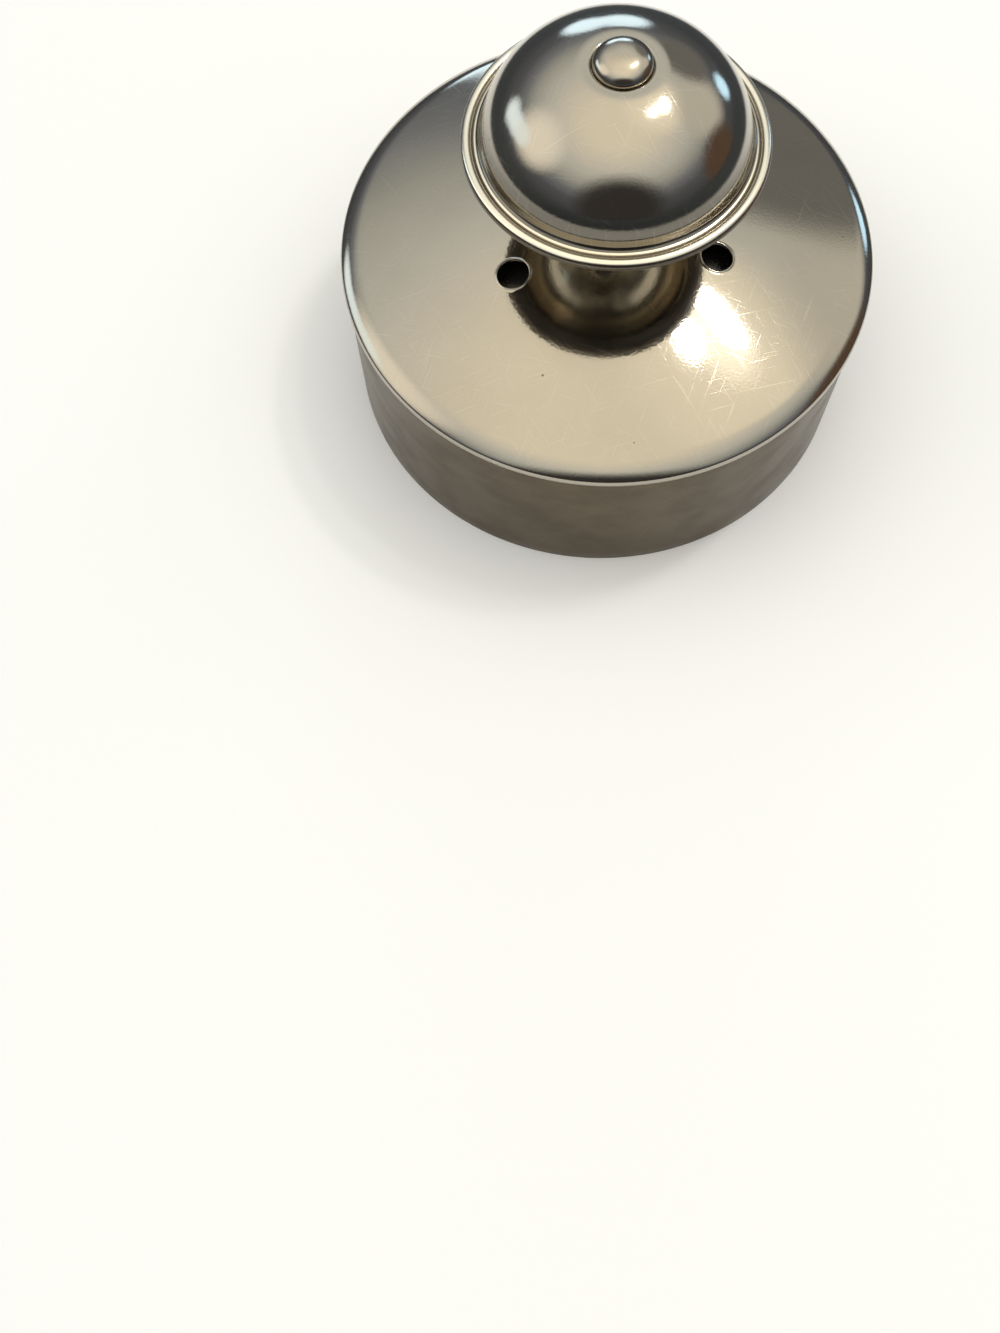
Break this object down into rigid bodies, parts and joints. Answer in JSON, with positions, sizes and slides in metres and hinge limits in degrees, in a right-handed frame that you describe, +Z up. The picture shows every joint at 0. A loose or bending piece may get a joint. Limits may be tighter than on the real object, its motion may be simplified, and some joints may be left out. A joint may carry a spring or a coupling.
{
  "type": "crustless sandwich cutter",
  "caption": "Round steel sandwich cutter: plain cutting wall, vented cover with a small guide neck, domed press knob and a sprung crimping plunger that seals the bread's edge.",
  "frame": {"origin": "centre of the cutting edge, on the surface that the cutter stands on", "axes": "+Z up along the cutter's own axis; the vent holes lie at 90, 210 and 330 degrees from +X"},
  "size_m": [0.0888, 0.0888, 0.0717],
  "materials": {
    "polished_steel": "mirror polished stainless sheet with fine scratches",
    "satin_steel": "satin stainless sheet with fine scratches",
    "rivet_steel": "burnished rivet steel",
    "plain_steel": "plain pressed stainless steel",
    "spring_steel": "drawn spring wire"
  },
  "bodies": {
    "cutter_body": {"top_cover": "polished_steel", "cutter_ring": "satin_steel", "spring_seat_washer": "plain_steel", "return_spring": "spring_steel"},
    "spring_cap": {"spring_cap_washer": "plain_steel"},
    "plunger": {"knob_dome": "polished_steel", "knob_rivet": "rivet_steel", "plunger_tube": "plain_steel", "crimper": "plain_steel", "crimper_washer": "plain_steel", "crimper_rivet": "rivet_steel"}
  },
  "joints": [
    {"name": "plunger_press", "type": "slide", "parent": "cutter_body", "child": "spring_cap", "axis": [0, 0, 1], "range_m": [-0.01, 0], "stiffness_N_per_m": 900, "springref_m": 0.006, "deforming": ["return_spring"]},
    {"name": "plunger_turn", "type": "hinge", "parent": "spring_cap", "child": "plunger", "pos_m": [0, 0, 0.05], "axis": [0, 0, 1], "continuous": true}
  ]
}
